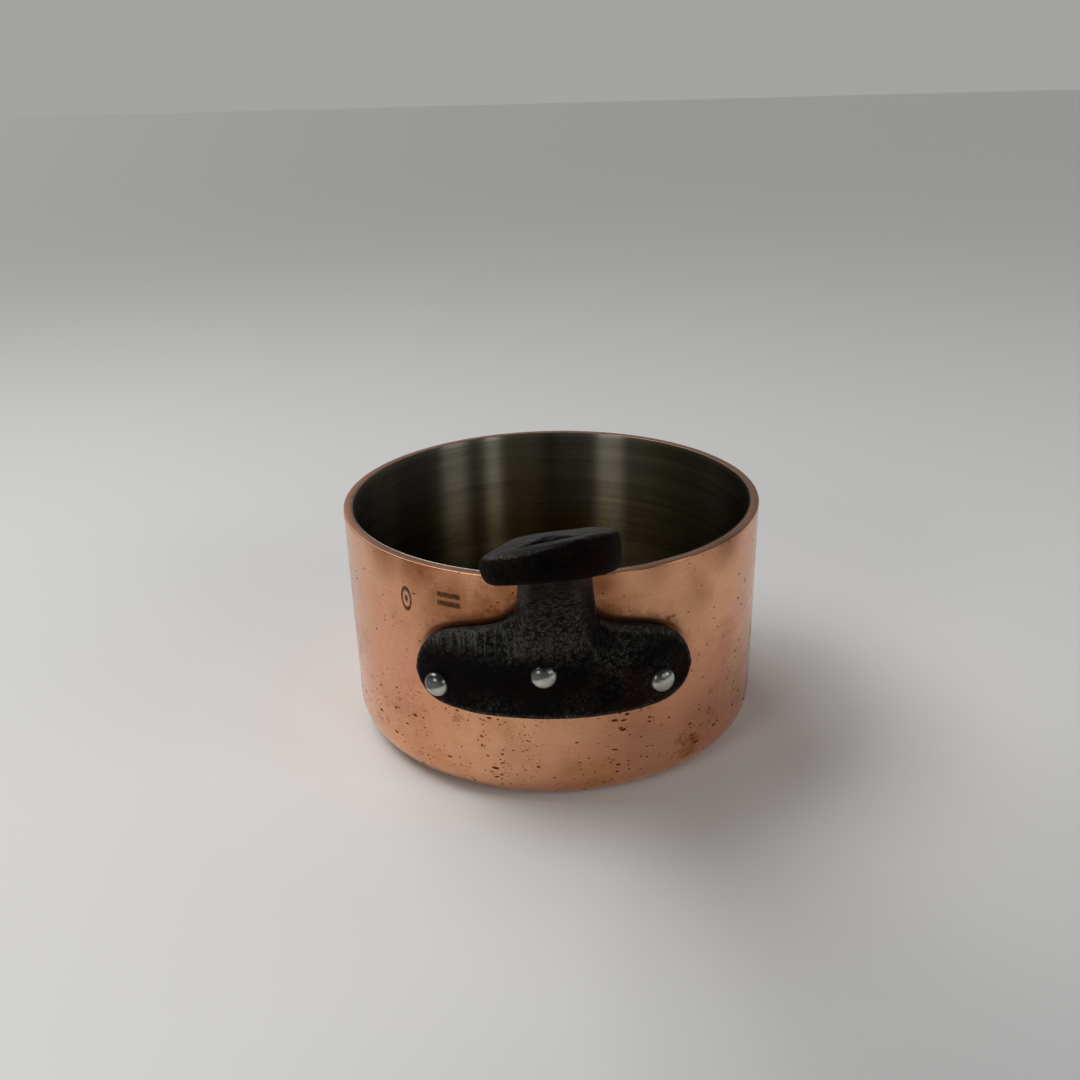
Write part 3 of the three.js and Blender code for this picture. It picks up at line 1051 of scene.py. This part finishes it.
def cupProfile(values):
    # the section of a flat-bottomed cup with rounded corners, from under its middle to its floor
    outer, inner, height = values["outerRadius"], values["innerRadius"], values["height"]
    under, floor = values["underside"], values["floor"]
    outerCorner, innerCorner = values["corner"] - under, values["corner"] - floor
    rim, innerRim = values["rimRound"], values["innerRound"]
    parts = values["parts"]
    return [
        (0, under),
        *rows((0, under), (outer - outerCorner, under), parts[0]),
        *arcPoints(outer - outerCorner, under + outerCorner, outerCorner, -90, 0, parts[1]),
        *rows((outer, under + outerCorner), (outer, height - rim), parts[2]),
        *arcPoints(outer - rim, height - rim, rim, 0, 90, parts[3]),
        *arcPoints(inner + innerRim, height - innerRim, innerRim, 90, 180, parts[4]),
        *rows((inner, height - innerRim), (inner, floor + innerCorner), parts[5]),
        *arcPoints(inner - innerCorner, floor + innerCorner, innerCorner, 0, -90, parts[6]),
        *rows((inner - innerCorner, floor), (0, floor), parts[7]),
        (0, floor),
    ]


copperShell = turned(
    "copperShell", cupProfile(body), body["steps"], copper, body["unevenness"], body["unevenSize"],
    neighbour=handleCasting,
)
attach(copperShell, "root")
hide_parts("copper_body")
print("copper body made")


# the steel lining

lining = {
    "outerRadius": liningBox[1][0] / mm,
    "innerRadius": liningBox[1][0] / mm - 0.4,
    "height": liningBox[1][2] / mm,
    "underside": liningBox[0][2] / mm,
    "floor": liningBox[0][2] / mm + 0.4,
    "corner": 9.5,
    "rimRound": 0.14,
    "innerRound": 0.14,
    "steps": 288,
    "parts": (1, 8, 6, 3, 3, 36, 16, 24),
}

steelSkin = turned("steelSkin", cupProfile(lining), lining["steps"], liningSteel)
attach(steelSkin, "root")
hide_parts("steel_lining")
print("lining made")


# the rivets

rivet = {
    "headRadius": 4.1,
    "headHeight": 2.65,
    "shankRadius": 2.6,
    "innerHeadRadius": 5,
    "innerHeadHeight": 1.25,
    "steps": 64,
    "unevenness": 0.12 * mm,
    "unevenSize": 3 * mm,
}


def rivetProfile(values):
    # along the rivet's own axis, with 0 at the pan's axis
    innerSeat = lining["innerRadius"] - 0.22
    outerSeat = handle["seat"] + handle["thickness"] + 0.12
    profile = []
    for i in range(13):
        angle = math.radians(90 * i / 12)
        rise = values["innerHeadHeight"] * math.cos(angle) ** 1.3
        profile.append((values["innerHeadRadius"] * math.sin(angle), innerSeat - rise))
    profile.append((values["shankRadius"], innerSeat))
    profile.append((values["shankRadius"], outerSeat))
    for i in range(21):
        angle = math.radians(90 - 90 * i / 20)
        across = values["headRadius"] * math.sin(angle) ** 0.92
        profile.append((across, outerSeat + values["headHeight"] * math.cos(angle)))
    return profile, outerSeat


def makeRivetTree():
    tree, start, end = newGroup("setRivet", "GeometryNodeTree", [
        ("Seat", "Geometry", None), ("Rivet", "Object", None), ("Spin", "Float", 0.0),
        ("Head Seat", "Float", 77 * mm), ("Head Height", "Float", 2.6 * mm),
        ("Head Radius", "Float", 4 * mm), ("Middle", "Vector", None), ("Finish", "Material", None),
    ], ("Rivet", "Geometry"))
    shape = put(tree, "GeometryNodeObjectInfo", {"Object": start["Rivet"]}).outputs["Geometry"]
    # how high each point stands on the head, for the grime under its edge
    along = split(pointPlace(tree))[2]
    crown = divided(minus(along, start["Head Seat"]), start["Head Height"])
    headed = keepAttribute(shape, "crown", crown)
    # the rivet's axis points from the pan's axis to its seat
    outwards = vectorCalc("MULTIPLY", pointPlace(tree), (1, 1, 0))
    facing = put(tree, "FunctionNodeAlignRotationToVector", {"Vector": outwards}, axis="Z").outputs[0]
    links = {0: facing, 1: combined(0.0, 0.0, start["Spin"])}
    spun = put(tree, "FunctionNodeRotateRotation", links, rotation_space="LOCAL").outputs[0]
    links = {"Points": start["Seat"], "Instance": headed, "Rotation": spun}
    placed = put(tree, "GeometryNodeInstanceOnPoints", links).outputs[0]
    # every instance starts at the pan's axis, at its seat's height
    links = {"Instances": placed, "Translation": scaled(outwards, -1.0), "Local Space": False}
    moved = put(tree, "GeometryNodeTranslateInstances", links).outputs[0]
    real = put(tree, "GeometryNodeRealizeInstances", {"Geometry": moved}).outputs[0]
    # how far above the rivet's middle each point is, leaning a little to one side
    offset = vectorCalc("SUBTRACT", pointPlace(tree), start["Middle"])
    leaning = vectorCalc("DOT_PRODUCT", offset, (-0.35, 0, 1), output="Value")
    kept = keepAttribute(real, "above", divided(leaning, start["Head Radius"]))
    endTree(kept, start["Finish"], end["Rivet"])
    return tree


setRivet = makeRivetTree()
profile, headSeat = rivetProfile(rivet)
for number, side in enumerate(("left", "centre", "right")):
    low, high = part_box("rivet_" + side)
    middle = [(a + b) / 2 for a, b in zip(low, high)]
    shape = turned(
        "rivetShape", profile, rivet["steps"], rivetSteel, rivet["unevenness"], rivet["unevenSize"],
        seed=number * 0.37,
    )
    seat = meshObject("seat", [middle])
    addNodes(seat, setRivet, {
        "Rivet": shape, "Spin": number * 2.1, "Head Seat": headSeat * mm,
        "Head Height": rivet["headHeight"] * mm, "Head Radius": rivet["headRadius"] * mm,
        "Middle": middle, "Finish": rivetSteel,
    })
    piece = settled(seat, "rivet" + side.capitalize())
    bpy.data.objects.remove(shape)
    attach(piece, "root")
    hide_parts("rivet_" + side)
print("rivets made")


# floor, light and camera

studio = {
    "floorColour": (0.72, 0.715, 0.70, 1),
    "floorCloud": (0.6, 0.6, 0.6, 1),
    "floorShade": (0.50, 0.50, 0.50, 1),
    "floorRoughness": 0.55,
    "floorSpecular": 0.25,
    "horizon": (0.37, 0.37, 0.36, 1),
    "zenith": (0.11, 0.11, 0.113, 1),
    # a wide, soft and far light: direction, spread in degrees, strength
    "key": ((-0.48, 0.47, 0.74), 46, 1.2),
    # name, azimuth from the handle towards +X, elevation, distance, width, height, watts
    "panels": [
        ("rightNarrow", 38, 24, 1.2, 0.17, 0.32, 1.2),
        ("rightWide", 65, 24, 1.2, 0.32, 0.32, 1.6),
        ("leftNarrow", -40, 24, 1.2, 0.33, 0.32, 1.9),
        ("sideFill", -98, 58, 0.9, 0.5, 0.4, 2.6),
    ],
}


def makeFloor():
    reach = 30.0
    below = -0.05 * mm
    corners = [(x * reach, y * reach, below) for x, y in ((-1, -1), (1, -1), (1, 1), (-1, 1))]
    floor = meshObject("floor", corners, [(0, 1, 2, 3)])
    material, tree, surface, place = newMaterial("floorBoard")
    soft = noiseValue(place, 6.0, 3.0)
    cloud = spread(soft, 0.3, 0.7, 0.0, 0.05)
    colour = blendColour(cloud, studio["floorColour"], studio["floorCloud"])
    # painted shade: a little darker towards the front right
    x, y, _ = split(place)
    towards = minus(times(x, 0.6), y)
    colour = blendColour(spread(towards, 0.10, 0.30, 0.0, 0.85), colour, studio["floorShade"])
    fill(surface, {
        "Base Color": colour, "Roughness": studio["floorRoughness"],
        "Specular IOR Level": studio["floorSpecular"],
    })
    floor.data.materials.append(material)


def facingPan(direction, distance):
    # a placing that looks back at the pan, with its width level
    away = Vector(direction).normalized()
    across = Vector((0, 0, 1)).cross(away).normalized()
    turned = Matrix((across, away.cross(across), away)).transposed().to_4x4()
    return Matrix.Translation(away * distance) @ turned


def addLamp(data, direction, distance):
    lamp = bpy.data.objects.new(data.name, data)
    lamp.matrix_world = facingPan(direction, distance)
    lamp.visible_camera = False
    scene.collection.objects.link(lamp)


def makeLights():
    direction, softness, strength = studio["key"]
    sun = bpy.data.lights.new("key", "SUN")
    sun.angle = math.radians(softness)
    sun.energy = strength
    addLamp(sun, direction, 2.0)
    for name, azimuth, elevation, distance, width, height, watts in studio["panels"]:
        data = bpy.data.lights.new(name, "AREA")
        data.shape = "RECTANGLE"
        data.size = width
        data.size_y = height
        data.energy = watts
        turn, rise = math.radians(azimuth), math.radians(elevation)
        level = math.cos(rise)
        direction = (math.sin(turn) * level, -math.cos(turn) * level, math.sin(rise))
        addLamp(data, direction, distance)


def makeSky():
    world = bpy.data.worlds.new("softRoom")
    world.use_nodes = True
    tree = world.node_tree
    tree.nodes.clear()
    up = split(put(tree, "ShaderNodeTexCoord").outputs["Generated"])[2]
    colour = blendColour(spread(up, 0.18, 0.55), studio["horizon"], studio["zenith"])
    back = put(tree, "ShaderNodeBackground", {"Color": colour, "Strength": 1.0})
    put(tree, "ShaderNodeOutputWorld", {"Surface": back.outputs[0]})
    scene.world = world


camera = {
    "place": (0.0010, -0.3479, 0.2092),
    "lens": 34.87,
    "pitch": 23.04,
    "heading": 0.85,
    "roll": -1.5,
}


def makeCamera(values):
    data = bpy.data.cameras.new("camera")
    data.lens = values["lens"]
    data.sensor_width = 36
    data.clip_start = 0.01
    made = bpy.data.objects.new("camera", data)
    heading = Matrix.Rotation(math.radians(values["heading"]), 4, "Z")
    pitch = Matrix.Rotation(math.radians(90 - values["pitch"]), 4, "X")
    roll = Matrix.Rotation(math.radians(values["roll"]), 4, "Z")
    made.matrix_world = Matrix.Translation(values["place"]) @ heading @ pitch @ roll
    scene.collection.objects.link(made)
    scene.camera = made


makeFloor()
makeLights()
makeSky()
makeCamera(camera)
scene.view_settings.view_transform = "Standard"
print("floor, lights and camera made")
